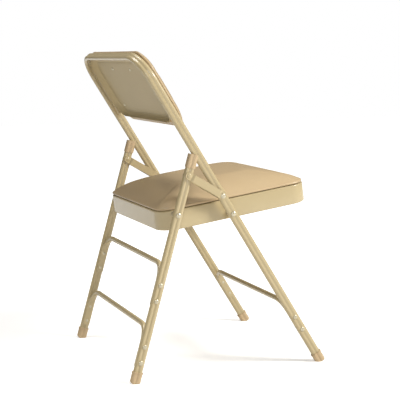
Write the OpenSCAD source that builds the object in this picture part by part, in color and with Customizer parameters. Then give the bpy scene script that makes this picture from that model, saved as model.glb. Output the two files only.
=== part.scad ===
// Folding chair with padded seat and back: bent tube frame, riveted double hinges, three braces.
// Millimetres. Z is up, the sitter faces -Y, and the origin is on the floor at the middle of the feet.

/* [Frame] */
// Width over the outer faces of the front frame
frame_w = 450; // [430:1:470]
// Length of the frame along its slope, from the floor to the outer face of the top rail
frame_len = 882; // [860:1:910]
// Backward slope of the front legs and back, from upright
frame_tilt = 32.2; // [31.4:0.1:33]
// Radius of the two top bends, at the middle of the tube
bend_r = 62; // [50:1:80]
// Forward slope of the rear legs, from upright
leg_tilt = 15.6; // [15:0.1:16.4]
// Distance between the front and rear legs on the floor
foot_span = 482; // [474:1:488]

/* [Tube] */
// Size of the two-lobed tube from front to back
tube_depth = 22; // [21:0.5:23]
// Size of the tube across its wide front lobe
tube_thick = 14; // [13:0.5:15]
// Size of the tube across its narrow rear lobe
rear_lobe = 11.6; // [10.5:0.1:12.4]
// Width of the waist between the lobes on the rear legs
leg_waist = 9.4; // [9:0.1:10.2]
// Width of the waist between the lobes on the front frame
frame_waist = 11; // [10.4:0.1:11.4]
// Wall of the tubes
tube_wall = 1.2; // [1:0.1:1.6]

/* [Hinges] */
// Place of the seat pivot up the front leg
seat_pivot_s = 447.6; // [444:0.5:450]
// Place of the link pivot up the front leg
link_pivot_s = 499.3; // [496:0.5:502]
// Place of the seat pivot up the rear leg
leg_pivot_s = 397; // [394:0.5:400]
// Place of the link pivot up the rear leg
top_pivot_s = 490; // [488:0.5:492]
// Width of the link plates
link_w = 17.5; // [16:0.5:18.5]
// Thickness of the link plates
link_t = 2.4; // [2:0.1:2.8]
// Step of each link plate away from the tubes between its ends
link_joggle = 3.4; // [3:0.1:3.8]
// Diameter of the rivet shanks
rivet_d = 7; // [6:0.1:7.4]
// Diameter of the rivet heads
rivet_head_d = 12.5; // [12:0.1:13]
// Height of the rivet heads
rivet_head_h = 2.4; // [2:0.1:2.5]
// Outside diameter of the spacers on the seat pivots
spacer_d = 14; // [12:0.5:15]

/* [Braces] */
// Diameter of the brace tubes
brace_d = 12.5; // [11:0.5:13]
// Inside radius of the brace bends
brace_bend = 24; // [20:1:24]
// Thickness of the flattened brace ends
brace_flat_t = 3.4; // [3:0.2:4]
// Width of the flattened brace ends
brace_flat_w = 18; // [16:0.5:19]
// Height of the front brace up the front leg
front_brace_s = 184; // [176:1:192]
// Height of the upper rear brace up the rear leg
upper_brace_s = 279; // [272:1:286]
// Height of the lower rear brace up the rear leg
lower_brace_s = 132; // [126:1:138]
// Lower rivet of the front brace, up the front leg
front_rivet_s = 101.5; // [98:0.5:106]
// Lower rivet of the upper rear brace, up the rear leg
upper_rivet_s = 194.5; // [190:0.5:198]
// Lower rivet of the lower rear brace, up the rear leg
lower_rivet_s = 49; // [46:0.5:52]
// Distance between the two rivets of a brace end
rivet_pitch = 38; // [34:0.5:40]
// Diameter of the brace rivet heads
brace_head_d = 10.5; // [9:0.5:11]
// Diameter of the brace rivet shanks
brace_shank_d = 5; // [4:0.5:6]
// Length of a brace's flat end past its lower rivet
brace_end = 12; // [10:0.5:14]
// Gap between an upright brace end's round tube and the leg
brace_gap = 1.5; // [1:0.1:2]

/* [Caps] */
// Wall of the plastic caps
cap_wall = 1.7; // [1.4:0.1:2]
// Height of a foot cap up its leg
foot_cap_h = 27; // [24:1:30]
// Height of the raised lip round a foot cap's mouth
foot_lip_h = 3.5; // [2:0.5:5]
// Rounding of a foot cap's lower edge
foot_round = 10; // [8:0.5:10]
// Height of a top cap
top_cap_h = 31.5; // [28:0.5:32]
// How far a top cap reaches past the end of its tube
top_cap_over = 16.5; // [15:0.5:18]
// Height of a top cap's end above the link pivot of the rear leg
top_cap_rise = 50; // [50:0.5:52]

/* [Seat] */
// Slope of the seat, front edge up
seat_tilt = 8.3; // [7.6:0.1:9]
// Gap between the pan and the tubes beside it, filled by the spacers
seat_gap = 14; // [12:1:18]
// Distance from the front pivot to the pan's front edge
seat_front = 217; // [205:1:225]
// Distance from the rear pivot to the pan's rear edge
seat_behind = 34.75; // [32:0.25:38]
// Height of the pan's rim above the front pivot
seat_rim = 31.5; // [28:0.5:33]
// Height of the pan's apron
apron_h = 46; // [42:1:47]
// Radius of the pan's rear corners
seat_rear_r = 50; // [40:1:60]
// Radius of the pan's front corners
seat_front_r = 46; // [36:1:60]
// Sheet thickness of the pans
sheet_t = 1.2; // [1:0.1:1.6]
// Width of the hem turned in along the apron's lower edge
hem_w = 9; // [6:1:12]
// Thickness of the seat board
board_t = 9; // [7:0.5:11]
// Distance of the seat board's edge inside the pan's outline
board_inset = 16; // [14:1:20]
// Height of the seat cushion's crown above the pan
seat_crown = 36; // [32:1:40]
// Height of the seat cushion's rolled edge
seat_edge_h = 9; // [7:0.5:12]
// Diameter of the screws that hold the cushions
screw_d = 4.2; // [3.8:0.1:4.6]
// Distance of the seat screws inside the pan's sides
screw_in = 52; // [44:1:60]
// Distance of the front seat screws behind the pan's front edge
screw_front_in = 60; // [50:1:80]
// Distance of the rear seat screws before the pan's rear edge
screw_rear_in = 48; // [44:1:60]

/* [Back] */
// Distance of the back cushion's edge inside the frame's outer face
back_inset = 15; // [13:1:20]
// Place of the back cushion's lower edge up the frame
back_low_s = 676; // [668:1:690]
// Place of the back cushion's upper edge up the frame
back_high_s = 879; // [872:1:880]
// Thickness of the back cushion
back_pad_t = 27; // [22:1:32]
// Radius of the back cushion's lower corners
back_low_r = 52; // [40:1:60]
// Height of the back cushion's rolled edge
back_edge_h = 9; // [7:0.5:11]
// Distance of the back board's edge inside the cushion's outline
back_board_inset = 12; // [11:0.5:16]
// Distance of the back pan's lower edge above the cushion's
pan_low_in = 22; // [12:1:26]
// Gap between the back pan's sides and the tubes beside it
pan_side_gap = 11; // [9:0.5:14]
// Depth of the back pan
back_pan_d = 14; // [11:0.5:16]
// Slope of the back pan's walls, as the width they take
back_pan_draft = 9; // [6:0.5:12]
// Thickness of the back board
back_board_t = 6; // [5:0.5:8]
// Distance of the lower back screws from the middle
screw_low_x = 150; // [140:1:160]
// Height of the lower back screws above the cushion's lower edge
screw_up = 48; // [42:1:54]
// Distance of the upper back screws from the middle
screw_high_x = 66; // [50:1:80]
// Distance of the upper back screws below the top rail
screw_down = 42; // [36:1:48]
// Height of the lower lugs above the cushion's lower edge
tab_low = 56; // [44:1:70]
// Distance of the upper side lugs below the top rail
tab_high = 66; // [60:1:80]
// Distance of the top lugs from the middle
tab_x = 86; // [60:1:110]

/* [Fits] */
// Running clearance round a pivot's shank, on the radius
run_fit = 0.05; // [0.03:0.01:0.08]
// Gap between parts that only rest side by side
rest_gap = 0.3; // [0.2:0.05:0.5]

/* [Hidden] */
fine = 48;
sides = [["left", 1], ["right", -1]];
// Middle plane of a side tube
side_x = frame_w / 2 - tube_thick / 2;
outer_x = frame_w / 2;
inner_x = frame_w / 2 - tube_thick;
half_cap = tube_depth / 2 + cap_wall;
rail_s = frame_len - tube_thick / 2;
seat_w = 2 * (inner_x - seat_gap);
back_w = frame_w - 2 * back_inset;

// Place of a foot cap's end along its leg, so that the floor takes 1.5 mm off its round edge
floor_cut = 1.5;
// Rounding of a foot cap's lower edge seen from the front, and how far its lip stands out
side_r = 6;
foot_lip = 0.7;
function foot_end(t) = (foot_round - floor_cut - (half_cap - foot_round) * sin(t)) / cos(t) - foot_round;
// How far a foot cap reaches beyond its leg's axis on the floor
function foot_reach(t) = foot_round + (half_cap - foot_round) * cos(t) - (foot_end(t) + foot_round) * sin(t);
// Place of a leg tube's lower end along its leg, on the sole inside the foot cap
cap_sole = 2;
function tube_end(t) = (tube_depth / 2 * sin(t) + cap_sole) / cos(t);
front_y = -(foot_span + foot_reach(leg_tilt) - foot_reach(frame_tilt)) / 2;
rear_y = front_y + foot_span;

// Points of the side linkage as [y, z]
function on_front(s) = [front_y + s * sin(frame_tilt), s * cos(frame_tilt)];
function on_rear(s) = [rear_y - s * sin(leg_tilt), s * cos(leg_tilt)];
seat_pivot = on_front(seat_pivot_s);
link_pivot = on_front(link_pivot_s);
leg_pivot = on_rear(leg_pivot_s);
top_pivot = on_rear(top_pivot_s);
link_span = top_pivot - link_pivot;
link_len = norm(link_span);
link_angle = atan2(link_span[1], link_span[0]);

// The rear leg's pivot in the seat's own directions, [rearward, upward] from the front pivot
seat_span = leg_pivot - seat_pivot;
leg_on_seat = [
    seat_span[0] * cos(seat_tilt) - seat_span[1] * sin(seat_tilt),
    seat_span[0] * sin(seat_tilt) + seat_span[1] * cos(seat_tilt)
];
// Distance from the front pivot to the pan's rear edge
seat_rear = leg_on_seat[0] + seat_behind;

// Height up the rear leg at which its tube ends, clear of the frame behind which it stands
leg_top_s = top_pivot_s + top_cap_rise - top_cap_over;

paint = "#c6bd9d";
plastic = "#cdb08f";
vinyl = "#c8ad86";
plywood = "#c9a66b";
steel = "#b9b29a";

// ---- placing ----

// Children drawn with Z up the front frame, the rear of the tube towards +Y
module on_frame() translate([0, front_y, 0]) rotate([-frame_tilt, 0, 0]) children();

// Children drawn with Z up the rear legs, the rear of the tube towards +Y
module on_legs() translate([0, rear_y, 0]) rotate([leg_tilt, 0, 0]) children();

// Children drawn from the seat's front pivot, +Y to the rear and Z square to the pan
module on_seat() translate([0, seat_pivot[0], seat_pivot[1]]) rotate([-seat_tilt, 0, 0]) children();

// Mirrors children to the left side, at +X, or leaves them at the right side's place
module on_side(side) mirror([side < 0 ? 1 : 0, 0, 0]) children();

// ---- tube ----

// Outline of the two-lobed tube, wide lobe to the front, with its skin moved out by grow
module lobes(waist, grow = 0) {
    front_r = tube_thick / 2;
    rear_r = rear_lobe / 2;
    front_c = -(tube_depth / 2 - front_r);
    rear_c = tube_depth / 2 - rear_r;
    translate([0, front_c]) circle(r = front_r + grow, $fn = fine);
    translate([0, rear_c]) circle(r = rear_r + grow, $fn = fine);
    translate([-waist / 2 - grow, front_c]) square([waist + 2 * grow, rear_c - front_c]);
}

// The frame's bent path filled with an outline: two legs, two bends and the top rail
module bent_path(low, grow) {
    straight = rail_s - bend_r - low;
    for (side = [1, -1]) on_side(side) {
        translate([side_x, 0, rail_s - bend_r]) mirror([0, 0, 1])
            linear_extrude(straight) lobes(frame_waist, grow);
        translate([side_x - bend_r, 0, rail_s - bend_r]) rotate([90, 0, 0])
            rotate_extrude(angle = 90, $fn = fine)
                translate([bend_r, 0]) mirror([0, 1]) lobes(frame_waist, grow);
    }
    translate([-side_x + bend_r, 0, rail_s]) rotate([0, 90, 0])
        linear_extrude(2 * (side_x - bend_r)) lobes(frame_waist, grow);
}

// Round hole through a side wall from the inside to the outside, at a height along Z
module side_hole(s, d, from_x = inner_x, to_x = outer_x) {
    translate([from_x - 1, 0, s]) rotate([0, 90, 0]) cylinder(h = to_x - from_x + 2, d = d, $fn = fine);
}

// ---- front frame ----

module front_frame() {
    color(paint) on_frame() difference() {
        bent_path(tube_end(frame_tilt), 0);
        bent_path(tube_end(frame_tilt) - 1, -tube_wall);
        for (side = [1, -1]) on_side(side) {
            side_hole(seat_pivot_s, rivet_d + 2 * run_fit);
            side_hole(link_pivot_s, rivet_d + 2 * run_fit);
            side_hole(front_rivet_s, brace_shank_d);
            side_hole(front_rivet_s + rivet_pitch, brace_shank_d);
        }
    }
}

// ---- foot and top caps ----

// The caps' waist is shallower than the tube's
cap_waist = leg_waist + 1.4;

// Outline of a cap over the tube, with its skin moved out by grow
module cap_outline(grow = 0) {
    lobes(cap_waist, cap_wall + grow);
}

// Side view of a foot cap in its own Y and Z: square top, round lower edge
module foot_profile(half, low, high, r) {
    translate([-half, low + r]) square([2 * half, high - low - r]);
    translate([-half + r, low]) square([2 * half - 2 * r, r + 1]);
    for (y = [-half + r, half - r]) translate([y, low + r]) circle(r = r, $fn = fine);
}

// One foot cap on a leg with slope t, cut off level with the floor
module foot_cap(t, waist) {
    low = foot_end(t);
    half_x = tube_thick / 2 + cap_wall;
    lip_low = foot_cap_h - foot_lip_h;
    difference() {
        union() {
            intersection() {
                translate([side_x, 0, low]) linear_extrude(lip_low - low) cap_outline();
                translate([side_x - half_x - 1, 0, 0]) rotate([90, 0, 90])
                    linear_extrude(2 * half_x + 2) foot_profile(half_cap, low, foot_cap_h, foot_round);
                translate([side_x, half_cap + 1, 0]) rotate([90, 0, 0])
                    linear_extrude(2 * half_cap + 2) foot_profile(half_x, low, foot_cap_h, side_r);
            }
            translate([side_x, 0, lip_low]) linear_extrude(foot_lip_h) cap_outline(foot_lip);
        }
        translate([side_x, 0, tube_end(t)]) linear_extrude(foot_cap_h) lobes(waist, 0);
    }
}

// Everything above the floor
module above_floor() {
    intersection() {
        children();
        translate([-frame_w, -frame_len, 0]) cube([2 * frame_w, 2 * frame_len, frame_len]);
    }
}

module front_foot_cap(side) {
    color(plastic) above_floor() on_frame() on_side(side) foot_cap(frame_tilt, frame_waist);
}

module rear_foot_cap(side) {
    color(plastic) above_floor() on_legs() on_side(side) foot_cap(leg_tilt, leg_waist);
}

// The frame's tube with an open way behind it, which the top cap's saddle takes
module saddle_cut() {
    rear_r = rear_lobe / 2 + rest_gap;
    rear_c = tube_depth / 2 - rear_lobe / 2;
    on_frame() on_side(1) translate([side_x, 0, link_pivot_s]) linear_extrude(3 * top_cap_rise) {
        lobes(frame_waist, rest_gap);
        translate([-rear_r, -tube_depth]) square([2 * rear_r, rear_c + tube_depth]);
    }
}

// Top cap of a rear leg: a sleeve over the tube's end, whose cheeks straddle the frame's rear lobe
module rear_top_cap(side) {
    high = top_pivot_s + top_cap_rise;
    low = high - top_cap_h;
    color(plastic) on_side(side) difference() {
        on_legs() translate([side_x, 0, low]) linear_extrude(top_cap_h) cap_outline();
        on_legs() translate([side_x, 0, low - 1]) linear_extrude(leg_top_s - low + 1) lobes(leg_waist, 0);
        saddle_cut();
    }
}

// ---- rear legs ----

module rear_leg(side) {
    low = tube_end(leg_tilt);
    color(paint) on_legs() on_side(side) difference() {
        translate([side_x, 0, low]) linear_extrude(leg_top_s - low) lobes(leg_waist, 0);
        translate([side_x, 0, low - 1]) linear_extrude(leg_top_s - low + 2) lobes(leg_waist, -tube_wall);
        side_hole(leg_pivot_s, rivet_d);
        side_hole(top_pivot_s, rivet_d + 2 * run_fit);
        for (s = [lower_rivet_s, upper_rivet_s]) {
            side_hole(s, brace_shank_d);
            side_hole(s + rivet_pitch, brace_shank_d);
        }
    }
}

// ---- braces ----

// Middle line of the upright part of a brace, just inside the leg
brace_in = brace_d / 2 + brace_gap;
brace_run = brace_bend + brace_d / 2;
// Height of a brace rivet's head, and the size of its clenched end
brace_head_h = 1.8;
brace_clench_d = 7;
brace_clench_h = 1;

// Brace of round tube: a bar with both ends bent down and flattened against the legs
module brace(bar_s, rivet_s) {
    bend_x = inner_x - brace_in - brace_run;
    flat_top = rivet_s + rivet_pitch + brace_head_d / 2;
    flat_low = rivet_s - brace_end;
    difference() {
        union() {
            translate([-bend_x, 0, bar_s]) rotate([0, 90, 0])
                cylinder(h = 2 * bend_x, d = brace_d, $fn = fine);
            for (side = [1, -1]) on_side(side) {
                translate([bend_x, 0, bar_s - brace_run]) rotate([90, 0, 0])
                    rotate_extrude(angle = 90, $fn = fine)
                        translate([brace_run, 0]) circle(d = brace_d, $fn = fine);
                brace_neck(bar_s - brace_run, flat_top, inner_x - brace_in);
                brace_flat(flat_low, flat_top);
            }
        }
        for (side = [1, -1]) on_side(side) {
            side_hole(rivet_s, brace_shank_d, inner_x - brace_flat_t, inner_x);
            side_hole(rivet_s + rivet_pitch, brace_shank_d, inner_x - brace_flat_t, inner_x);
        }
    }
}

// Tapered neck where the round tube is pressed flat against the leg
module brace_neck(high, low, x) {
    slice = 0.5;
    hull() {
        translate([x, 0, high - slice]) cylinder(h = slice, d = brace_d, $fn = 32);
        translate([inner_x - brace_flat_t, -brace_flat_w / 2, low - slice])
            cube([brace_flat_t, brace_flat_w, slice]);
    }
}

// Flattened end of a brace, with rounded lower corners
module brace_flat(low, high) {
    corner = 3;
    translate([inner_x - brace_flat_t, 0, 0]) rotate([90, 0, 90]) linear_extrude(brace_flat_t) {
        translate([-brace_flat_w / 2, low + corner]) square([brace_flat_w, high - low - corner]);
        translate([-brace_flat_w / 2 + corner, low]) square([brace_flat_w - 2 * corner, corner + 1]);
        for (y = [-1, 1]) translate([y * (brace_flat_w / 2 - corner), low + corner])
            circle(r = corner, $fn = fine);
    }
}

// The four rivets of one brace, each with a round head outside and a clenched end inside
module brace_rivets(rivet_s) {
    for (side = [1, -1], s = [rivet_s, rivet_s + rivet_pitch]) on_side(side) {
        translate([inner_x - brace_flat_t, 0, s]) rotate([0, 90, 0])
            cylinder(h = tube_thick + brace_flat_t, d = brace_shank_d, $fn = fine);
        translate([outer_x, 0, s]) rotate([0, 90, 0]) dome(brace_head_d, brace_head_h);
        translate([inner_x - brace_flat_t, 0, s]) rotate([0, -90, 0]) dome(brace_clench_d, brace_clench_h);
    }
}

// Domed head: a cap of a ball, with diameter d and height h, standing on Z = 0
module dome(d, h) {
    r = (d * d / 4 + h * h) / (2 * h);
    intersection() {
        translate([0, 0, h - r]) sphere(r = r, $fn = fine);
        cylinder(h = h, d = d, $fn = fine);
    }
}

module front_brace() {
    color(paint) on_frame() brace(front_brace_s, front_rivet_s);
}

module front_brace_rivets() {
    color(steel) on_frame() brace_rivets(front_rivet_s);
}

module rear_upper_brace() {
    color(paint) on_legs() brace(upper_brace_s, upper_rivet_s);
}

module rear_lower_brace() {
    color(paint) on_legs() brace(lower_brace_s, lower_rivet_s);
}

module rear_upper_rivets() {
    color(steel) on_legs() brace_rivets(upper_rivet_s);
}

module rear_lower_rivets() {
    color(steel) on_legs() brace_rivets(lower_rivet_s);
}

// ---- links ----

// Gap between a plate's ends and the tubes
link_gap = 0.25;
// Length of a plate's end that lies on the tube, of the step after it, and how far the bends of its faces
// lie apart
link_seat = 8;
link_step = 5;
link_shift = 0.6;
// Size of the clenched inner ends of the hinge rivets
clench_d = rivet_head_d - 2;
clench_h = rivet_head_h - 1;

// One link plate from the frame pivot at the origin along +Y to the rear leg pivot, seen from the outside:
// its ends lie on x = 0 and its middle stands at x = link_joggle
module link_plate() {
    mid = link_len - 2 * (link_seat + link_step);
    half = link_w / 2;
    difference() {
        intersection() {
            translate([0, 0, -half]) linear_extrude(link_w) polygon([
                [0, -half],
                [0, link_seat],
                [link_joggle, link_seat + link_step],
                [link_joggle, link_seat + link_step + mid],
                [0, link_len - link_seat],
                [0, link_len + half],
                [link_t, link_len + half],
                [link_t, link_len - link_seat + link_shift],
                [link_joggle + link_t, link_seat + link_step + mid + link_shift],
                [link_joggle + link_t, link_seat + link_step - link_shift],
                [link_t, link_seat - link_shift],
                [link_t, -half]
            ]);
            translate([-1, 0, 0]) rotate([90, 0, 90]) linear_extrude(link_joggle + link_t + 2) {
                circle(d = link_w, $fn = fine);
                translate([0, -half]) square([link_len, link_w]);
                translate([link_len, 0]) circle(d = link_w, $fn = fine);
            }
        }
        translate([-1, 0, 0]) rotate([0, 90, 0])
            cylinder(h = link_t + 2, d = rivet_d + 2 * run_fit, $fn = fine);
    }
}

// Place of the link's frame pivot with +Y along the link
module on_link(x) translate([x, link_pivot[0], link_pivot[1]]) rotate([link_angle, 0, 0]) children();

// Outer link plate with its own rivet head over the rear leg
module link_outer(side) {
    color(paint) on_side(side) on_link(outer_x + link_gap) {
        link_plate();
        translate([link_t, link_len, 0]) rotate([0, 90, 0]) dome(rivet_head_d, rivet_head_h);
    }
}

// Inner link plate with its own rivet head over the rear leg
module link_inner(side) {
    color(paint) on_side(side) on_link(inner_x - link_gap) mirror([1, 0, 0]) {
        link_plate();
        translate([link_t, link_len, 0]) rotate([0, 90, 0]) dome(clench_d, clench_h);
    }
}

// Rivet of the frame that both link plates turn on
module link_pivot_rivet(side) {
    low = inner_x - link_gap - link_t - rest_gap;
    high = outer_x + link_gap + link_t + rest_gap;
    color(steel) on_side(side) translate([0, link_pivot[0], link_pivot[1]]) {
        translate([low, 0, 0]) rotate([0, 90, 0]) cylinder(h = high - low, d = rivet_d, $fn = fine);
        translate([high, 0, 0]) rotate([0, 90, 0]) dome(rivet_head_d, rivet_head_h);
        translate([low, 0, 0]) rotate([0, -90, 0]) dome(clench_d, clench_h);
    }
}

// ---- seat pivots ----

pan_x = seat_w / 2;
// How far the pan's round rear corner has drawn the apron in where the rear pivot's clenched head sits
corner_in = pan_wall_in(leg_on_seat[0] + clench_d / 2);

// Distance that the pan's rear corner lies inside its straight side, at a distance behind the front pivot
function pan_wall_in(y) =
    let (past = max(0, y - (seat_rear - seat_rear_r)))
    seat_rear_r - sqrt(seat_rear_r * seat_rear_r - past * past);

// Rivet through a tube, a spacer and the pan's apron, clenched inside at x = low
module seat_rivet(pivot, low) {
    color(steel) translate([0, pivot[0], pivot[1]]) {
        translate([low, 0, 0]) rotate([0, 90, 0]) cylinder(h = outer_x - low, d = rivet_d, $fn = fine);
        translate([outer_x, 0, 0]) rotate([0, 90, 0]) dome(rivet_head_d, rivet_head_h);
        translate([low, 0, 0]) rotate([0, -90, 0]) dome(clench_d, clench_h);
    }
}

module seat_pivot_rivet(side) {
    on_side(side) seat_rivet(seat_pivot, pan_x - sheet_t - rest_gap);
}

module leg_pivot_rivet(side) {
    on_side(side) seat_rivet(leg_pivot, pan_x - sheet_t - corner_in - rest_gap);
}

// Spacers between the apron and the tubes, cut to the pan's outline, at [rearward, upward] from the pivot
module seat_spacers(at) {
    start = pan_x - corner_in;
    color(steel) on_seat() for (side = [1, -1]) on_side(side) difference() {
        translate([start, at[0], at[1]]) rotate([0, 90, 0])
            cylinder(h = inner_x - start - rest_gap, d = spacer_d, $fn = fine);
        translate([start - 1, at[0], at[1]]) rotate([0, 90, 0])
            cylinder(h = inner_x - start + 2, d = rivet_d + 2 * run_fit, $fn = fine);
        translate([0, 0, seat_rim - apron_h]) linear_extrude(apron_h) seat_outline();
    }
}

// ---- seat ----

// Plan outline of the pan, drawn in by an inset
module seat_outline(inset = 0) {
    rr = seat_rear_r - inset;
    fr = seat_front_r - inset;
    half = seat_w / 2 - inset;
    rear = seat_rear - inset;
    front = seat_front - inset;
    translate([-half + rr, 0]) square([2 * (half - rr), rear]);
    translate([-half + fr, -front]) square([2 * (half - fr), front]);
    translate([-half, -front + fr]) square([2 * half, front + rear - fr - rr]);
    for (side = [1, -1]) {
        translate([side * (half - rr), rear - rr]) circle(r = rr, $fn = 72);
        translate([side * (half - fr), -front + fr]) circle(r = fr, $fn = 72);
    }
}

// Pan: a tray turned upside down, with a shoulder under the rim and a hem along the lower edge
module seat_pan() {
    low = seat_rim - apron_h;
    shoulder = 1.4;
    shoulder_in = 1.5;
    color(paint) on_seat() difference() {
        union() {
            translate([0, 0, low]) linear_extrude(apron_h - shoulder) seat_outline();
            translate([0, 0, seat_rim - shoulder - 0.01])
                linear_extrude(shoulder / 2 + 0.02) seat_outline(shoulder_in / 3);
            translate([0, 0, seat_rim - shoulder / 2])
                linear_extrude(shoulder / 2) seat_outline(shoulder_in);
        }
        translate([0, 0, low + sheet_t]) {
            linear_extrude(apron_h - 2 * sheet_t - shoulder) seat_outline(sheet_t);
            linear_extrude(apron_h - 2 * sheet_t) seat_outline(shoulder_in + sheet_t);
        }
        translate([0, 0, low - 1]) linear_extrude(sheet_t + 2) seat_outline(hem_w);
        for (side = [1, -1], at = [[0, 0], leg_on_seat]) on_side(side)
            translate([pan_x - sheet_t - corner_in - 1, at[0], at[1]]) rotate([0, 90, 0])
                cylinder(h = sheet_t + corner_in + 2, d = rivet_d + 2 * run_fit, $fn = fine);
        for (at = screw_places) translate([at[0], at[1], seat_rim - sheet_t - 1])
            cylinder(h = sheet_t + 2, d = screw_hole_d, $fn = 24);
    }
}

screw_hole_d = screw_d + 0.3;
screw_head_d = 2 * screw_d;
screw_head_h = 2.2;
// Places of the four screws that hold the cushion on the pan
screw_places = [
    for (x = [-1, 1], y = [screw_front_in - seat_front, seat_rear - screw_rear_in])
        [x * (pan_x - screw_in), y]
];

module seat_board() {
    color(plywood) on_seat() difference() {
        translate([0, 0, seat_rim]) linear_extrude(board_t) seat_outline(board_inset);
        for (at = screw_places) translate([at[0], at[1], seat_rim - 1])
            cylinder(h = board_t - 1, d = screw_hole_d, $fn = 24);
    }
}

module seat_screws() {
    color(steel) on_seat() for (at = screw_places) translate([at[0], at[1], seat_rim - sheet_t]) {
        rotate([180, 0, 0]) dome(screw_head_d, screw_head_h);
        cylinder(h = sheet_t + board_t - 3, d = screw_d, $fn = 24);
    }
}

// ---- cushions ----

ring_n = 56;

// Point on a rounded rectangle around the origin at turn a, by the corner radius r
function corner_point(hx, hy, r, a) =
    let (cx = cos(a) >= 0 ? hx - r : r - hx, cy = sin(a) >= 0 ? hy - r : r - hy)
    [cx + r * cos(a), cy + r * sin(a)];

// One closed ring of points, drawn in by an inset and scaled towards the middle
function pad_ring(hx, hy, r, inset, shrink, z) = [
    for (i = [0:ring_n - 1])
        let (p = corner_point(hx - inset, hy - inset, r - inset, 360 * (i + 0.5) / ring_n))
        [p[0] * shrink, p[1] * shrink, z]
];

// Skin of a cushion: its side rolls out from the lower seam and in again, then the top rises as 1 - u^5,
// where u runs from 1 at the edge to 0 in the middle, in steps that are closer near the edge
roll_steps = 7;
roll_low = -60;
roll_high = 65;
dome_steps = 9;
dome_power = 5;
edge_tuck = 3.5;
function roll_in(a) = edge_tuck * (1 - cos(a)) * 2;
function pad_rings(hx, hy, r, edge_h, crown) = concat(
    [for (k = [0:roll_steps])
        let (a = roll_low + (roll_high - roll_low) * k / roll_steps)
        pad_ring(hx, hy, r, roll_in(a), 1, edge_h / 2 * (1 + sin(a) / sin(roll_high)))],
    [for (k = [1:dome_steps])
        let (u = 1 - pow(k / (dome_steps + 1), 1.7))
        pad_ring(hx, hy, r, roll_in(roll_high), u, edge_h + (crown - edge_h) * (1 - pow(u, dome_power)))]
);

// Closed cushion standing on Z = 0: half sizes, corner radius, height of its edge and crown, and the height
// and inset of the board that it wraps
module pad(hx, hy, r, edge_h, crown, board_h, board_in) {
    pocket = [for (z = [board_h, 0]) pad_ring(hx, hy, r, board_in, 1, z)];
    rings = concat(pocket, pad_rings(hx, hy, r, edge_h, crown));
    count = len(rings);
    points = concat([for (ring = rings, p = ring) p], [[0, 0, board_h], [0, 0, crown]]);
    base = count * ring_n;
    walls = [
        for (k = [0:count - 2], i = [0:ring_n - 1])
            let (j = (i + 1) % ring_n, a = k * ring_n + i, b = k * ring_n + j)
            each [[a, a + ring_n, b + ring_n], [a, b + ring_n, b]]
    ];
    bottom = [for (i = [0:ring_n - 1]) [base, i, (i + 1) % ring_n]];
    top = [
        for (i = [0:ring_n - 1])
            let (last = (count - 1) * ring_n)
            [base + 1, last + (i + 1) % ring_n, last + i]
    ];
    polyhedron(points = points, faces = concat(walls, bottom, top));
}

// Cushion of the seat: vinyl over foam, wrapped round the board
module seat_cushion() {
    middle_y = (seat_rear - seat_front) / 2;
    half_y = (seat_rear + seat_front) / 2;
    over = 1;
    color(vinyl) on_seat() translate([0, middle_y, seat_rim + rest_gap])
        pad(pan_x - over, half_y - over, seat_front_r - 2 * over, seat_edge_h, seat_crown, board_t,
            board_inset - rest_gap - over);
}

// ---- back ----

// Outline of the back cushion and pan in X and up the frame, drawn in by an inset
module back_outline(inset, low, high, half) {
    low_r = back_low_r - inset;
    high_r = bend_r - inset;
    l = low + inset;
    h = high - inset;
    w = half - inset;
    translate([-w, l + low_r]) square([2 * w, h - l - low_r - high_r]);
    translate([-w + low_r, l]) square([2 * (w - low_r), low_r + 1]);
    translate([-w + high_r, h - high_r - 1]) square([2 * (w - high_r), high_r + 1]);
    for (side = [1, -1]) {
        translate([side * (w - low_r), l + low_r]) circle(r = low_r, $fn = 72);
        translate([side * (w - high_r), h - high_r]) circle(r = high_r, $fn = 72);
    }
}

back_face_y = -(tube_depth / 2 + 1);
// The pan's floor lies on the board's rear face, and its upper edge under the rail
back_pan_y = back_face_y + rest_gap;
pan_low_s = back_low_s + pan_low_in;
pan_high_s = rail_s - tube_thick / 2 - rest_gap;
pan_half = inner_x - pan_side_gap;

// A block with sloping sides, wider by the draft at its rear, between the cushion and the rear
module pan_block(inset, from_y, to_y) {
    slope = back_pan_draft / back_pan_d;
    run = (to_y - from_y) * slope;
    intersection() {
        translate([0, 0, pan_low_s - 1]) linear_extrude(pan_high_s - pan_low_s + 2) polygon([
            [-pan_half + back_pan_draft + inset, from_y],
            [pan_half - back_pan_draft - inset, from_y],
            [pan_half - back_pan_draft - inset + run, to_y],
            [-pan_half + back_pan_draft + inset - run, to_y]
        ]);
        translate([-pan_half - 1, 0, 0]) rotate([90, 0, 90]) linear_extrude(2 * pan_half + 2) polygon([
            [from_y, pan_low_s + back_pan_draft + inset],
            [from_y, pan_high_s - back_pan_draft - inset],
            [to_y, pan_high_s - back_pan_draft - inset + run],
            [to_y, pan_low_s + back_pan_draft + inset - run]
        ]);
        translate([0, to_y + 1, 0]) rotate([90, 0, 0]) linear_extrude(to_y - from_y + 2)
            back_outline(inset, pan_low_s, pan_high_s, pan_half);
    }
}

// Back pan: a shallow tray of sheet, its floor to the front and its walls opening to the rear
module back_pan() {
    color(paint) on_frame() difference() {
        pan_block(0, back_pan_y, back_pan_y + back_pan_d);
        pan_block(sheet_t, back_pan_y + sheet_t, back_pan_y + back_pan_d + 1);
        for (at = back_screw_places) translate([at[0], back_pan_y + sheet_t + 1, at[1]]) rotate([90, 0, 0])
            cylinder(h = sheet_t + 2, d = screw_hole_d, $fn = 24);
    }
}

// Places of the back screws as [x, up the frame]: the lower pair and the upper pair
back_screw_places = [
    for (x = [-1, 1]) [x * screw_low_x, back_low_s + screw_up],
    for (x = [-1, 1]) [x * screw_high_x, rail_s - screw_down]
];

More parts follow.
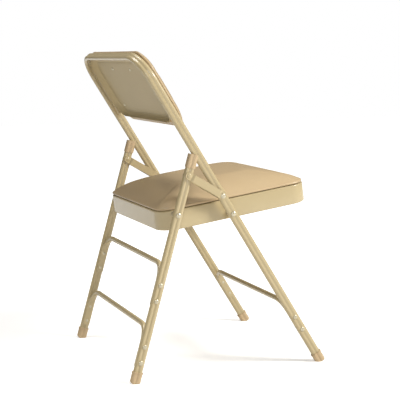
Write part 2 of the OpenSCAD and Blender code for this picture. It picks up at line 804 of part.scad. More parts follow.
module back_screws() {
    color(steel) on_frame() for (at = back_screw_places) translate([at[0], back_pan_y + sheet_t, at[1]]) {
        rotate([-90, 0, 0]) dome(screw_head_d, screw_head_h);
        rotate([90, 0, 0]) cylinder(h = sheet_t + back_board_t - 2, d = screw_d, $fn = 24);
    }
}

// Small lugs welded between the pan's sloping walls and the frame's tubes
module back_tabs() {
    tab_w = 14;
    tab_t = 2;
    y0 = -1.5;
    // How far the pan's wall lies inside its rear edge at a lug's rear face
    wall_in = back_pan_draft * (1 - (y0 + tab_t - back_pan_y) / back_pan_d);
    weld_gap = 0.05;
    // Half width of the tube's wide lobe at a lug's front face
    lobe_y = y0 + tube_depth / 2 - tube_thick / 2;
    lobe_half = sqrt(pow(tube_thick / 2, 2) - pow(lobe_y, 2));
    start = pan_half - wall_in;
    top = pan_high_s - wall_in;
    color(paint) on_frame() {
        for (side = [1, -1], s = [back_low_s + tab_low, rail_s - tab_high]) on_side(side)
            translate([start, y0, s - tab_w / 2])
                cube([side_x - lobe_half - weld_gap - start, tab_t, tab_w]);
        for (x = [-tab_x, tab_x]) translate([x - tab_w / 2, y0, top])
            cube([tab_w, tab_t, rail_s - lobe_half - weld_gap - top]);
    }
}

module back_board() {
    color(plywood) on_frame() difference() {
        translate([0, back_face_y, 0]) rotate([90, 0, 0]) linear_extrude(back_board_t)
            back_outline(back_board_inset, back_low_s, back_high_s, back_w / 2);
        for (at = back_screw_places) translate([at[0], back_face_y + 1, at[1]]) rotate([90, 0, 0])
            cylinder(h = back_board_t, d = screw_hole_d, $fn = 24);
    }
}

// Cushion of the back: vinyl over foam on the board's front
module back_cushion() {
    middle_s = (back_low_s + back_high_s) / 2;
    color(vinyl) on_frame() translate([0, back_face_y, middle_s]) rotate([90, 0, 0])
        pad(back_w / 2, middle_s - back_low_s, back_low_r, back_edge_h, back_pad_t, back_board_t + rest_gap,
            back_board_inset - rest_gap);
}

// ---- parts ----

front_frame();
front_brace();
front_brace_rivets();
front_foot_cap(1);  // front_foot_cap_left
front_foot_cap(-1);  // front_foot_cap_right
back_pan();
back_tabs();
back_screws();
back_board();
back_cushion();
seat_pivot_rivet(1);  // seat_pivot_rivet_left
seat_pivot_rivet(-1);  // seat_pivot_rivet_right
link_pivot_rivet(1);  // link_pivot_rivet_left
link_pivot_rivet(-1);  // link_pivot_rivet_right
rear_leg(1);  // rear_leg_left
rear_leg(-1);  // rear_leg_right
rear_upper_brace();
rear_lower_brace();
rear_upper_rivets();
rear_lower_rivets();
rear_foot_cap(1);  // rear_foot_cap_left
rear_foot_cap(-1);  // rear_foot_cap_right
rear_top_cap(1);  // rear_top_cap_left
rear_top_cap(-1);  // rear_top_cap_right
leg_pivot_rivet(1);  // leg_pivot_rivet_left
leg_pivot_rivet(-1);  // leg_pivot_rivet_right
link_outer(1);  // link_outer_left
link_inner(1);  // link_inner_left
link_outer(-1);  // link_outer_right
link_inner(-1);  // link_inner_right
seat_pan();
seat_spacers([0, 0]);  // seat_spacers_front
seat_spacers(leg_on_seat);  // seat_spacers_rear
seat_board();
seat_screws();
seat_cushion();
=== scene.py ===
"""A folding chair: bent steel tube, riveted double hinges, tube braces, padded vinyl seat and back."""
import math

import bmesh
import bpy
import numpy as np
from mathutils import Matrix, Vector


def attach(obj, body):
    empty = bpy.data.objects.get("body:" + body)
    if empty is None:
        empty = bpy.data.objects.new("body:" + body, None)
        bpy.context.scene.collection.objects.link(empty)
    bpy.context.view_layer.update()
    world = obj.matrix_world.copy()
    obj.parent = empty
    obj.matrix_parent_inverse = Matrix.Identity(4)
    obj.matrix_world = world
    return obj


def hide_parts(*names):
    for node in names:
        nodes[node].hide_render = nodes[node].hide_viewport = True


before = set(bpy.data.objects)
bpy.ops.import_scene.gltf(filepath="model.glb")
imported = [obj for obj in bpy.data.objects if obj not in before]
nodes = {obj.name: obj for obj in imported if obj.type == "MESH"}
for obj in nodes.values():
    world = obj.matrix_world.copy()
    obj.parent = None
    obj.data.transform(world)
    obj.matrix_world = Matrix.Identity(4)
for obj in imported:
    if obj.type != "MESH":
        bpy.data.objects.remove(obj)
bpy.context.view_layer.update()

# ---- photographer's studio ----
# A pale sweep of paper under soft boxes, with the camera low behind the sitter's right side.
scene = bpy.context.scene
scene.view_settings.view_transform = "Standard"


def linear(code):
    """sRGB hex code to linear red, green, blue and alpha: c / 12.92, or ((c + 0.055) / 1.055) ^ 2.4."""
    c = np.array([int(code[i:i + 2], 16) for i in (1, 3, 5)]) / 255
    return (*np.where(c <= 0.04045, c / 12.92, ((c + 0.055) / 1.055) ** 2.4), 1.0)


def add(tree, kind, settings=None, links=None, **values):
    """Adds one node of a kind: settings are its properties, values its inputs by name, and links the sources
    of its inputs."""
    node = tree.nodes.new(kind)
    for name, value in (settings or {}).items():
        setattr(node, name, value)
    for name, value in values.items():
        node.inputs[name.replace("_", " ")].default_value = value
    for name, source in (links or {}).items():
        tree.links.new(source, node.inputs[name])
    return node


camera_place = Vector((-2.4338, 0.9944, 0.7360))
camera_yaw, camera_pitch = math.radians(-22.49), math.radians(-7.56)
camera_aim = Vector((
    math.cos(camera_pitch) * math.cos(camera_yaw),
    math.cos(camera_pitch) * math.sin(camera_yaw),
    math.sin(camera_pitch),
))
camera_data = bpy.data.cameras.new("camera")
camera_data.sensor_width = 36
camera_data.lens = 95.01
camera_data.shift_x = -0.00105
camera_data.shift_y = -0.0033
camera = bpy.data.objects.new("camera", camera_data)
camera.location = camera_place
camera.rotation_mode = "QUATERNION"
camera.rotation_quaternion = camera_aim.to_track_quat("-Z", "Y")
scene.collection.objects.link(camera)
scene.camera = camera

paper = bpy.data.materials.new("white_background_paper")
paper.use_nodes = True
paper_tree = paper.node_tree
paper_shader = paper_tree.nodes["Principled BSDF"]
paper_shader.inputs["Base Color"].default_value = linear("#F4F2EE")
paper_shader.inputs["Roughness"].default_value = 0.9
paper_shader.inputs["Specular IOR Level"].default_value = 0.1
paper_shader.inputs["Emission Color"].default_value = linear("#FFFFFF")
paper_ray = add(paper_tree, "ShaderNodeLightPath")
paper_seen = add(paper_tree, "ShaderNodeMath", {"operation": "MAXIMUM"})
paper_tree.links.new(paper_ray.outputs["Is Camera Ray"], paper_seen.inputs[0])
paper_tree.links.new(paper_ray.outputs["Is Glossy Ray"], paper_seen.inputs[1])
# the paper's own glow grows from the chair outwards, so that only its shadow darkens the ground
paper_place = add(paper_tree, "ShaderNodeTexCoord")
paper_away = add(paper_tree, "ShaderNodeVectorMath", {"operation": "LENGTH"})
paper_tree.links.new(paper_place.outputs["Object"], paper_away.inputs[0])
paper_rise = add(paper_tree, "ShaderNodeMapRange", {"interpolation_type": "SMOOTHSTEP"},
                 {"Value": paper_away.outputs["Value"]}, From_Min=0.5, From_Max=2.2, To_Min=0.42, To_Max=1.0)
paper_glow = add(paper_tree, "ShaderNodeMath", {"operation": "MULTIPLY"})
paper_tree.links.new(paper_seen.outputs[0], paper_glow.inputs[0])
paper_tree.links.new(paper_rise.outputs["Result"], paper_glow.inputs[1])
paper_tree.links.new(paper_glow.outputs[0], paper_shader.inputs["Emission Strength"])
floor_half = 9.0
floor_mesh = bpy.data.meshes.new("floor")
floor_mesh.from_pydata(
    [(-floor_half, -floor_half, 0), (floor_half, -floor_half, 0),
     (floor_half, floor_half, 0), (-floor_half, floor_half, 0)], [], [(0, 1, 2, 3)])
floor = bpy.data.objects.new("floor", floor_mesh)
floor_mesh.materials.append(paper)
scene.collection.objects.link(floor)

room = bpy.data.worlds.new("studio")
room.use_nodes = True
scene.world = room
room_tree = room.node_tree
room_light = room_tree.nodes["Background"]
room_light.inputs["Color"].default_value = linear("#FFFFFF")
room_light.inputs["Strength"].default_value = 0.1
room_white = add(room_tree, "ShaderNodeBackground", Strength=1.0, Color=linear("#FFFFFF"))
room_ray = add(room_tree, "ShaderNodeLightPath")
room_seen = add(room_tree, "ShaderNodeMath", {"operation": "MAXIMUM"})
room_tree.links.new(room_ray.outputs["Is Camera Ray"], room_seen.inputs[0])
room_tree.links.new(room_ray.outputs["Is Transmission Ray"], room_seen.inputs[1])
room_mix = add(room_tree, "ShaderNodeMixShader")
room_tree.links.new(room_seen.outputs[0], room_mix.inputs[0])
room_tree.links.new(room_light.outputs[0], room_mix.inputs[1])
room_tree.links.new(room_white.outputs[0], room_mix.inputs[2])
room_tree.links.new(room_mix.outputs[0], room_tree.nodes["World Output"].inputs["Surface"])

# place, aim, size in metres and power in watts of each soft box
soft_boxes = {
    "key": ((-1.9, -2.2, 2.2), (0, 0, 0.4), 0.9, 118),
    "fill": ((-2.6, 1.2, 1.2), (0, 0, 0.4), 0.8, 20),
    "top": ((0.2, 0.6, 2.6), (0, 0, 0.4), 1.0, 34),
}
for name, (place, aim, size, power) in soft_boxes.items():
    data = bpy.data.lights.new(name, "AREA")
    data.size = size
    data.energy = power
    lamp = bpy.data.objects.new(name, data)
    lamp.location = place
    lamp.rotation_euler = (Vector(aim) - Vector(place)).to_track_quat("-Z", "Y").to_euler()
    scene.collection.objects.link(lamp)

# ---- painted steel ----
# Beige powder coat baked on steel tube and sheet: satin, even, with a faint orange peel that softens the
# reflections. Its grain is drawn at 2.5 mm, coarser than the real half millimetre, so that it shows.
paint = bpy.data.materials.new("beige_powder_coated_steel")
paint.use_nodes = True
paint_tree = paint.node_tree
paint_shader = paint_tree.nodes["Principled BSDF"]
paint_shader.inputs["Roughness"].default_value = 0.26
paint_shader.inputs["IOR"].default_value = 1.5
paint_place = add(paint_tree, "ShaderNodeTexCoord")
peel_mm, cloud_mm = 2.5, 90
paint_cloud = add(paint_tree, "ShaderNodeTexNoise", links={"Vector": paint_place.outputs["Object"]},
                  Scale=1000 / cloud_mm, Detail=3.0)
paint_tint = add(paint_tree, "ShaderNodeMixRGB", links={"Fac": paint_cloud.outputs["Fac"]},
                 Color1=linear("#B6A47C"), Color2=linear("#BFAE87"))
paint_tree.links.new(paint_tint.outputs[0], paint_shader.inputs["Base Color"])
paint_peel = add(paint_tree, "ShaderNodeTexNoise", links={"Vector": paint_place.outputs["Object"]},
                 Scale=1000 / peel_mm, Detail=2.0)
paint_bump = add(paint_tree, "ShaderNodeBump", links={"Height": paint_peel.outputs["Fac"]},
                 Strength=0.015, Distance=0.0003)
paint_tree.links.new(paint_bump.outputs[0], paint_shader.inputs["Normal"])

# ---- front frame ----
# One length of two-lobed steel tube, bent into a tall U: front legs, two bends and the top rail. Both side
# faces keep a shallow groove between the wide front lobe and the narrow rear one.
tube_depth, front_lobe, rear_lobe = 0.022, 0.007, 0.0058
frame_y, frame_tilt = -0.242296, math.radians(32.2)
side_x, rail_s, bend_r = 0.218, 0.875, 0.062
frame_low_s, frame_waist = 0.0093, 0.011


def lobed_section(waist, n=26):
    """Closed outline of the tube as [across, depth]: the half width at a depth is the soft maximum
    (a^p + b^p + c^p)^(1/p) of the front lobe's circle, the rear lobe's circle and the waist between them."""
    half = tube_depth / 2
    depth = -half * np.cos(np.linspace(0, math.pi, n))
    front_c, rear_c = front_lobe - half, half - rear_lobe
    front = np.sqrt(np.clip(front_lobe ** 2 - (depth - front_c) ** 2, 0, None))
    rear = np.sqrt(np.clip(rear_lobe ** 2 - (depth - rear_c) ** 2, 0, None))
    middle = np.where((depth > front_c) & (depth < rear_c), waist / 2, 0)
    power = 16
    peak = np.maximum(np.maximum(front, rear), np.maximum(middle, 1e-9))
    width = peak * ((front / peak) ** power + (rear / peak) ** power + (middle / peak) ** power) ** (1 / power)
    width[[0, -1]] = 0
    return np.concatenate([np.stack([width, depth], 1), np.stack([-width, depth], 1)[-2:0:-1]])


def loft(name, rings, material):
    """Closed skin over rings of points, an array [ring, point, xyz]: each ring joins the next point by point,
    and the first and last are closed by a fan to their middle point."""
    k, n, _ = rings.shape
    i, j = np.meshgrid(np.arange(k - 1), np.arange(n), indexing="ij")
    a, b = i * n + j, i * n + (j + 1) % n
    quads = np.stack([a, b, b + n, a + n], -1).reshape(-1, 4)
    j = np.arange(n)
    start = np.stack([np.full(n, k * n), (j + 1) % n, j], -1)
    end = np.stack([np.full(n, k * n + 1), (k - 1) * n + j, (k - 1) * n + (j + 1) % n], -1)
    points = np.concatenate([rings.reshape(-1, 3), rings[0].mean(0)[None], rings[-1].mean(0)[None]])
    mesh = bpy.data.meshes.new(name)
    mesh.from_pydata(points.tolist(), [], quads.tolist() + start.tolist() + end.tolist())
    skin = bmesh.new()
    skin.from_mesh(mesh)
    bmesh.ops.recalc_face_normals(skin, faces=skin.faces)
    skin.to_mesh(mesh)
    skin.free()
    mesh.shade_smooth()
    mesh.set_sharp_from_angle(angle=math.radians(50))
    mesh.materials.append(material)
    piece = bpy.data.objects.new(name, mesh)
    scene.collection.objects.link(piece)
    return piece


def tilted(points, y, tilt, z=0.0):
    """Points [across, rearward, up the slope] turned back by tilt about X and moved to y and z."""
    x, depth, up = points[..., 0], points[..., 1], points[..., 2]
    return np.stack([x, y + depth * math.cos(tilt) + up * math.sin(tilt),
                     z - depth * math.sin(tilt) + up * math.cos(tilt)], -1)


def sweep(path, outward, section):
    """Rings of a section [across, depth] carried along a path [x, up] with its outward directions."""
    across = path[:, None, :] + section[None, :, :1] * outward[:, None, :]
    depth = np.broadcast_to(section[None, :, 1], across.shape[:2])
    return np.stack([across[..., 0], depth, across[..., 1]], -1)


turn = np.linspace(0, math.pi / 2, 28)
leg_up = np.linspace(frame_low_s, rail_s - bend_r, 12)[:-1]
half_path = np.concatenate([
    np.stack([np.full_like(leg_up, side_x), leg_up], 1),
    np.stack([side_x - bend_r + bend_r * np.cos(turn), rail_s - bend_r + bend_r * np.sin(turn)], 1)])
half_out = np.concatenate([
    np.stack([np.ones_like(leg_up), np.zeros_like(leg_up)], 1),
    np.stack([np.cos(turn), np.sin(turn)], 1)])
mirror_x = np.array([-1.0, 1.0])
frame_path = np.concatenate([half_path, (half_path * mirror_x)[::-1]])
frame_out = np.concatenate([half_out, (half_out * mirror_x)[::-1]])
frame_rings = sweep(frame_path, frame_out, lobed_section(frame_waist))
frame_tube = loft("frame_tube", tilted(frame_rings, frame_y, frame_tilt), paint)
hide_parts("front_frame")
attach(frame_tube, "frame")

# ---- rear legs ----
# Two straight lengths of the same tube with a deeper groove, which lean forward and end in plastic caps.
leg_y, leg_tilt = 0.239704, math.radians(-15.6)
leg_low_s, leg_top_s, leg_waist = 0.0052, 0.5235, 0.0086
for side, sign in (("left", 1), ("right", -1)):
    leg_path = np.stack([np.full(14, sign * side_x), np.linspace(leg_low_s, leg_top_s, 14)], 1)
    leg_out = np.stack([np.full(14, float(sign)), np.zeros(14)], 1)
    leg_rings = sweep(leg_path, leg_out, lobed_section(leg_waist))
    leg = loft(f"rear_leg_tube_{side}", tilted(leg_rings, leg_y, leg_tilt), paint)
    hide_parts(f"rear_leg_{side}")
    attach(leg, "rear_legs")

# ---- braces ----
# Round steel tube bent at both ends and pressed flat where two rivets hold each end on a leg's inner face.
brace_r, flat_half_t, flat_half_w, flat_corner = 0.00625, 0.0017, 0.009, 0.003
brace_reach, brace_end, brace_hold = 0.042, 0.012, 0.00525
inner_x, rivet_pitch = 0.211, 0.038


def brace_rings(bar_s, rivet_s):
    """Sections along a brace: |across / a|^q + |depth / b|^q = 1, which turn from a flat strip with a = 1.7 mm,
    b = 9 mm and q = 5 into a circle with q = 2 while the path runs through a quarter of an ellipse,
    x = x0 - 42 mm * (1 - cos t) and z = z0 + rise * sin t, from the leg's face into the bar."""
    low, flat_top = rivet_s - brace_end, rivet_s + rivet_pitch + brace_hold
    corner = flat_corner * (1 - np.cos(np.linspace(0, math.pi / 2, 7)))
    up = np.concatenate([low + corner, np.linspace(low + flat_corner, flat_top, 8)[1:]])
    edge = flat_corner - np.clip(up - low, 0, flat_corner)
    b_flat = flat_half_w - flat_corner + np.sqrt(np.clip(flat_corner ** 2 - edge ** 2, 1e-8, None))
    bend = np.linspace(0, math.pi / 2, 30)[1:]
    rise = bar_s - flat_top
    share = np.clip(bend / 1.15, 0, 1)
    share = share * share * (3 - 2 * share)
    path = np.concatenate([
        np.stack([np.full_like(up, inner_x - flat_half_t), up], 1),
        np.stack([inner_x - flat_half_t - brace_reach * (1 - np.cos(bend)), flat_top + rise * np.sin(bend)], 1)])
    normal = np.stack([rise * np.cos(bend), brace_reach * np.sin(bend)], 1)
    out = np.concatenate([np.stack([np.ones_like(up), np.zeros_like(up)], 1),
                          normal / np.linalg.norm(normal, axis=1, keepdims=True)])
    a = np.concatenate([np.full(len(up), flat_half_t), flat_half_t + (brace_r - flat_half_t) * share])
    b = np.concatenate([b_flat, flat_half_w + (brace_r - flat_half_w) * share])
    q = np.concatenate([np.full(len(up), 5.0), 5 - 3 * share])
    path, out = (np.concatenate([v, (v * mirror_x)[::-1]]) for v in (path, out))
    a, b, q = (np.concatenate([v, v[::-1]])[:, None] for v in (a, b, q))
    angle = np.linspace(0, 2 * math.pi, 41)[None, :-1]
    c, s = np.cos(angle), np.sin(angle)
    across = a * np.sign(c) * np.abs(c) ** (2 / q)
    depth = b * np.sign(s) * np.abs(s) ** (2 / q)
    flat = path[:, None, :] + across[..., None] * out[:, None, :]
    return np.stack([flat[..., 0], depth, flat[..., 1]], -1)


for name, bar_s, rivet_s, y, tilt, body in (
        ("front_brace", 0.184, 0.1015, frame_y, frame_tilt, "frame"),
        ("rear_upper_brace", 0.279, 0.1945, leg_y, leg_tilt, "rear_legs"),
        ("rear_lower_brace", 0.132, 0.049, leg_y, leg_tilt, "rear_legs")):
    brace = loft(f"{name}_tube", tilted(brace_rings(bar_s, rivet_s), y, tilt), paint)
    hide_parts(name)
    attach(brace, body)

# ---- seat pan ----
# A tray of pressed sheet turned upside down: a deep apron with round corners, a rolled rim on which the
# cushion sits, and a hem turned in along the lower edge. Painted like the tubes.
seat_y, seat_z, seat_tilt = -0.003781, 0.378756, math.radians(8.3)
seat_half, seat_front, seat_rear = 0.197, 0.217, 0.1695
seat_front_r, seat_rear_r = 0.046, 0.050
seat_rim, apron, sheet, hem = 0.0315, 0.046, 0.0012, 0.009


def rounded_plan(half, low, high, low_r, high_r, inset, corner_n=18):
    """Outline [x, y] of a rectangle from -half to half and from low to high with round corners, drawn in by an
    inset: each corner is corner centre + (radius - inset) * (cos, sin)."""
    step = np.linspace(0, math.pi / 2, corner_n)
    rows = []
    for start, sx, y, r in ((0, 1, high - high_r, high_r), (1, -1, high - high_r, high_r),
                            (2, -1, low + low_r, low_r), (3, 1, low + low_r, low_r)):
        angle = step + start * math.pi / 2
        rows.append(np.stack([sx * (half - r) + (r - inset) * np.cos(angle),
                              y + (r - inset) * np.sin(angle)], 1))
    return np.concatenate(rows)


roll = np.linspace(0, math.pi / 2, 8)
rim_r, ledge = 0.003, 0.030
pan_profile = np.concatenate([
    [[ledge, seat_rim]],
    np.stack([rim_r * (1 - np.sin(roll)), seat_rim - rim_r * (1 - np.cos(roll))], 1),
    np.stack([rim_r * (1 - np.cos(roll)), seat_rim - apron + rim_r * (1 - np.sin(roll))], 1),
    [[hem, seat_rim - apron], [hem, seat_rim - apron + sheet]],
    np.stack([sheet + rim_r * (1 - np.sin(roll)), seat_rim - apron + sheet + rim_r * (1 - np.cos(roll))], 1),
    [[sheet, seat_rim - rim_r], [rim_r, seat_rim - sheet], [ledge, seat_rim - sheet]]])
pan_rings = np.stack([np.concatenate(
    [plan, np.full((len(plan), 1), height)], 1)
    for inset, height in pan_profile
    for plan in [rounded_plan(seat_half, -seat_front, seat_rear, seat_front_r, seat_rear_r, inset)]])
seat_tray = loft("seat_tray", tilted(pan_rings, seat_y, seat_tilt, seat_z), paint)
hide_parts("seat_pan")
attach(seat_tray, "seat")

# ---- back pan ----
# A shallow tray of pressed sheet behind the back cushion. Its floor lies to the front and its walls sweep
# back in a soft curve to a thin edge; small lugs join it to the tube.
back_low_s, back_high_s, back_half = 0.698, 0.8675, 0.196
back_low_r, back_high_r = 0.046, 0.052
dish_depth, dish_width = 0.014, 0.014
dish_turn = np.linspace(0, 1, 14)
dish_y = 0.0023 - dish_depth * np.sin(dish_turn * math.pi / 2) ** 0.9
dish_in = dish_width * dish_turn ** 1.25
dish_floor = dish_width + 0.008
back_rings = [np.stack([plan[:, 0], np.full(len(plan), y), plan[:, 1]], 1) for inset, y in
              [(dish_floor, dish_y[-1])] + list(zip(dish_in, dish_y))[::-1]
              + list(zip(dish_in + sheet, dish_y + sheet * 0.4))[:-1]
              + [(dish_in[-1] + sheet, dish_y[-1] + sheet), (dish_floor, dish_y[-1] + sheet)]
              for plan in [rounded_plan(back_half, back_low_s, back_high_s, back_low_r, back_high_r, inset)]]
# a duller copy of the frame's paint, so that the tray's floor doesn't mirror the white room
tray_paint = paint.copy()
tray_paint.name = "beige_powder_coat_inside_tray"
tray_shader = tray_paint.node_tree.nodes["Principled BSDF"]
tray_shader.inputs["Roughness"].default_value = 0.5
tray_shader.inputs["Specular IOR Level"].default_value = 0.2
back_tray = loft("back_tray", tilted(np.stack(back_rings), frame_y, frame_tilt), tray_paint)
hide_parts("back_pan")
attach(back_tray, "frame")

# ---- cushions ----
# Foam wrapped in tan vinyl, stapled under a plywood board and screwed down on the pan: plump at the edge,
# lightly crowned, and tucked in above the rim. Fine pressed leather grain, drawn at 1.6 mm.
vinyl = bpy.data.materials.new("tan_embossed_vinyl")
vinyl.use_nodes = True
vinyl_tree = vinyl.node_tree
vinyl_shader = vinyl_tree.nodes["Principled BSDF"]
vinyl_shader.inputs["Roughness"].default_value = 0.36
vinyl_shader.inputs["IOR"].default_value = 1.5
vinyl_place = add(vinyl_tree, "ShaderNodeTexCoord")
grain_mm, tone_mm = 1.6, 120
vinyl_tone = add(vinyl_tree, "ShaderNodeTexNoise", links={"Vector": vinyl_place.outputs["Object"]},
                 Scale=1000 / tone_mm, Detail=4.0)
vinyl_tint = add(vinyl_tree, "ShaderNodeMixRGB", links={"Fac": vinyl_tone.outputs["Fac"]},
                 Color1=linear("#B89F78"), Color2=linear("#C1AA85"))
vinyl_tree.links.new(vinyl_tint.outputs[0], vinyl_shader.inputs["Base Color"])
vinyl_cells = add(vinyl_tree, "ShaderNodeTexVoronoi", links={"Vector": vinyl_place.outputs["Object"]},
                  Scale=1000 / grain_mm)
vinyl_bump = add(vinyl_tree, "ShaderNodeBump", links={"Height": vinyl_cells.outputs["Distance"]},
                 Strength=0.14, Distance=0.0003)
vinyl_tree.links.new(vinyl_bump.outputs[0], vinyl_shader.inputs["Normal"])


def cushion_rings(half, low, high, low_r, high_r, edge, crown, tuck, side_n=30):
    """Rings [x, y, height] of a crowned pad: the side is an arc from -60 to 65 degrees that bulges by the tuck,
    and the top rises as 1 - u^5, where u scales its rings from the edge, at 1, to the middle, at 0. The four
    straight sides of each ring are cut into equal steps, so that the cover has cells to swell with."""
    turn = np.radians(np.linspace(-60, 65, 9))
    inset = tuck * 2 * (1 - np.cos(turn))
    height = edge / 2 * (1 + np.sin(turn) / math.sin(math.radians(65)))
    side = []
    for i, h in zip(inset, height):
        corners = rounded_plan(half, low, high, low_r, high_r, i).reshape(4, -1, 2)
        step = np.linspace(0, 1, side_n + 2)[1:-1, None]
        plan = np.concatenate([np.concatenate([corners[k], corners[k][-1] * (1 - step)
                                               + corners[(k + 1) % 4][0] * step]) for k in range(4)])
        side.append(np.concatenate([plan, np.full((len(plan), 1), h)], 1))
    middle = np.array([0, (low + high) / 2, 0])
    top = [(side[-1] - middle) * [u, u, 0] + middle + [0, 0, edge + (crown - edge) * (1 - u ** 5)]
           for u in 1 - np.linspace(0, 1, 28)[1:-1] ** 1.3]
    return np.stack(side + top)


def swell(pad, rest_normal, rest_level, limit):
    """Blows a pad up like foam under its cover: 20 frames of cloth with pressure 4 and no gravity, with the face
    that lies on the board and the lower half of the side pinned. The move is evened out over neighbouring
    points, m' = (m + mean of neighbours) / 2, and no point moves further than the limit."""
    mesh = pad.data
    start = np.empty(len(mesh.vertices) * 3, np.float32)
    mesh.vertices.foreach_get("co", start)
    start = start.reshape(-1, 3)
    level = start @ np.array(rest_normal) - rest_level
    pin = pad.vertex_groups.new(name="pin")
    pin.add(np.nonzero(level < 0.005)[0].tolist(), 1.0, "REPLACE")
    cloth = pad.modifiers.new("cloth", "CLOTH")
    cloth.settings.quality = 6
    cloth.settings.mass = 0.3
    cloth.settings.tension_stiffness = cloth.settings.compression_stiffness = 18
    cloth.settings.shear_stiffness = 8
    cloth.settings.bending_stiffness = 1.5
    cloth.settings.use_pressure = True
    cloth.settings.uniform_pressure_force = 4
    cloth.settings.effector_weights.gravity = 0
    cloth.settings.vertex_group_mass = "pin"
    for number in range(1, 21):
        scene.frame_set(number)
    graph = bpy.context.evaluated_depsgraph_get()
    blown = bpy.data.meshes.new_from_object(pad.evaluated_get(graph))
    end = np.empty(len(blown.vertices) * 3, np.float32)
    blown.vertices.foreach_get("co", end)
    pad.modifiers.clear()
    pad.vertex_groups.clear()
    scene.frame_set(1)
    edges = np.empty(len(mesh.edges) * 2, np.int32)
    mesh.edges.foreach_get("vertices", edges)
    a, b = edges.reshape(-1, 2).T
    count = np.bincount(edges, minlength=len(start))[:, None]
    move = end.reshape(-1, 3) - start
    for _ in range(12):
        around = np.stack([np.bincount(a, move[b, k], len(start)) + np.bincount(b, move[a, k], len(start))
                           for k in range(3)], 1)
        move = (move + around / count) / 2
    size = np.linalg.norm(move, axis=1, keepdims=True)
    move *= np.minimum(1, limit / np.maximum(size, 1e-9))
    mesh.vertices.foreach_set("co", (start + move).astype(np.float32).ravel())
    mesh.update()
    mesh.shade_smooth()


pad_edge, pad_tuck = 0.009, 0.0035
up_seat = np.array([0, math.sin(seat_tilt), math.cos(seat_tilt)])
seat_pad_in, seat_pad_r, seat_crown = 0.001, 0.044, 0.036
seat_face = seat_rim + 0.0006
seat_rings = cushion_rings(seat_half - seat_pad_in, -seat_front + seat_pad_in, seat_rear - seat_pad_in,
                           seat_pad_r, seat_pad_r, pad_edge, seat_crown, pad_tuck)
seat_rings[..., 2] += seat_face
seat_pad = loft("seat_cushion_vinyl", tilted(seat_rings, seat_y, seat_tilt, seat_z), vinyl)
seat_base = float(np.array([0, seat_y, seat_z]) @ up_seat) + seat_face
swell(seat_pad, up_seat, seat_base, 0.006)
seat_fine = seat_pad.modifiers.new("fine", "SUBSURF")
seat_fine.levels = seat_fine.render_levels = 1
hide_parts("seat_cushion")
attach(seat_pad, "seat")

out_back = np.array([0, -math.cos(frame_tilt), math.sin(frame_tilt)])
back_face = 0.0125
back_pad_half, back_pad_low, back_pad_high, back_pad_r, back_crown = 0.210, 0.676, 0.879, 0.052, 0.0265
pad_rings = cushion_rings(back_pad_half, back_pad_low, back_pad_high, back_pad_r, back_pad_r,
                          pad_edge, back_crown, pad_tuck)
pad_rings = np.stack([pad_rings[..., 0], -back_face - pad_rings[..., 2], pad_rings[..., 1]], -1)
back_pad = loft("back_cushion_vinyl", tilted(pad_rings, frame_y, frame_tilt), vinyl)
back_base = float(np.array([0, frame_y, 0]) @ out_back) + back_face
swell(back_pad, out_back, back_base, 0.005)
back_fine = back_pad.modifiers.new("fine", "SUBSURF")
back_fine.levels = back_fine.render_levels = 1
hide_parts("back_cushion")
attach(back_pad, "frame")

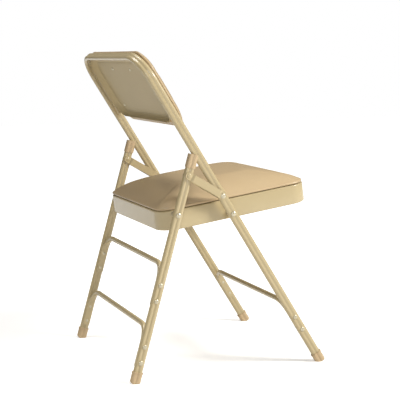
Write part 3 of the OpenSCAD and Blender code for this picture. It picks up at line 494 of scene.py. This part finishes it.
# ---- caps ----
# Injection-moulded polyethylene caps, a warmer tan than the paint and without its gloss.
plastic = bpy.data.materials.new("tan_moulded_polyethylene")
plastic.use_nodes = True
plastic_tree = plastic.node_tree
plastic_shader = plastic_tree.nodes["Principled BSDF"]
plastic_shader.inputs["Roughness"].default_value = 0.5
plastic_place = add(plastic_tree, "ShaderNodeTexCoord")
plastic_cloud = add(plastic_tree, "ShaderNodeTexNoise", links={"Vector": plastic_place.outputs["Object"]},
                    Scale=60.0, Detail=3.0)
plastic_tint = add(plastic_tree, "ShaderNodeMixRGB", links={"Fac": plastic_cloud.outputs["Fac"]},
                   Color1=linear("#B9A07A"), Color2=linear("#C3AB87"))
plastic_tree.links.new(plastic_tint.outputs[0], plastic_shader.inputs["Base Color"])
plastic_bump = add(plastic_tree, "ShaderNodeBump", links={"Height": plastic_cloud.outputs["Fac"]},
                   Strength=0.1, Distance=0.0004)
plastic_tree.links.new(plastic_bump.outputs[0], plastic_shader.inputs["Normal"])

# ---- rivets, spacers and screws ----
# Cold-headed steel, sprayed over with the frame's paint: slightly metallic where the coat is thin.
rivet = bpy.data.materials.new("painted_rivet_steel")
rivet.use_nodes = True
rivet_tree = rivet.node_tree
rivet_shader = rivet_tree.nodes["Principled BSDF"]
rivet_shader.inputs["Metallic"].default_value = 0.4
rivet_shader.inputs["Roughness"].default_value = 0.3
rivet_place = add(rivet_tree, "ShaderNodeTexCoord")
rivet_cloud = add(rivet_tree, "ShaderNodeTexNoise", links={"Vector": rivet_place.outputs["Object"]},
                  Scale=140.0, Detail=3.0)
rivet_tint = add(rivet_tree, "ShaderNodeMixRGB", links={"Fac": rivet_cloud.outputs["Fac"]},
                 Color1=linear("#B9AF93"), Color2=linear("#C6BDA4"))
rivet_tree.links.new(rivet_tint.outputs[0], rivet_shader.inputs["Base Color"])

# ---- boards ----
# Rotary-cut plywood under both cushions, raw, with a long grain along the chair's width.
board = bpy.data.materials.new("raw_plywood")
board.use_nodes = True
board_tree = board.node_tree
board_shader = board_tree.nodes["Principled BSDF"]
board_shader.inputs["Roughness"].default_value = 0.7
board_place = add(board_tree, "ShaderNodeTexCoord")
board_stretch = add(board_tree, "ShaderNodeMapping", links={"Vector": board_place.outputs["Object"]},
                    Scale=(4.0, 60.0, 60.0))
board_grain = add(board_tree, "ShaderNodeTexNoise", links={"Vector": board_stretch.outputs["Vector"]},
                  Scale=3.0, Detail=6.0)
board_tint = add(board_tree, "ShaderNodeMixRGB", links={"Fac": board_grain.outputs["Fac"]},
                 Color1=linear("#B08A54"), Color2=linear("#D4B27C"))
board_tree.links.new(board_tint.outputs[0], board_shader.inputs["Base Color"])

for name, node in nodes.items():
    finish = paint
    if "cap" in name:
        finish = plastic
    elif "rivet" in name or "screw" in name or "spacer" in name:
        finish = rivet
    elif "board" in name:
        finish = board
    node.data.materials.clear()
    node.data.materials.append(finish)
